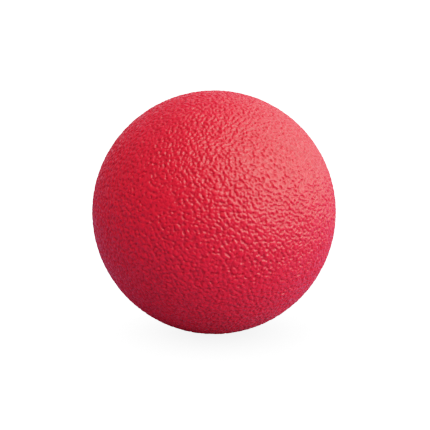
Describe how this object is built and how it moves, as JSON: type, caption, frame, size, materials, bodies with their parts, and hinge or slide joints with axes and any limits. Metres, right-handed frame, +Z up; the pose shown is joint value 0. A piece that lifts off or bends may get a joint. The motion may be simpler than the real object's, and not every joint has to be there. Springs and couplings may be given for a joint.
{
  "type": "massage ball",
  "caption": "Dense leather-grained rubber ball, rolled or leaned on to massage the feet, back and other tight muscles.",
  "frame": {"origin": "centre of the ball", "axes": "+Z up; Y is the mould axis, square to the plane where the two half covers meet, with the front cover on the -Y side; X lies in that plane"},
  "size_m": [0.0634, 0.0634, 0.0634],
  "materials": {
    "cover_rubber": "satin",
    "core_rubber": "matte"
  },
  "bodies": {
    "root": {"core": "core_rubber", "front_cover": "cover_rubber", "rear_cover": "cover_rubber"}
  },
  "joints": []
}
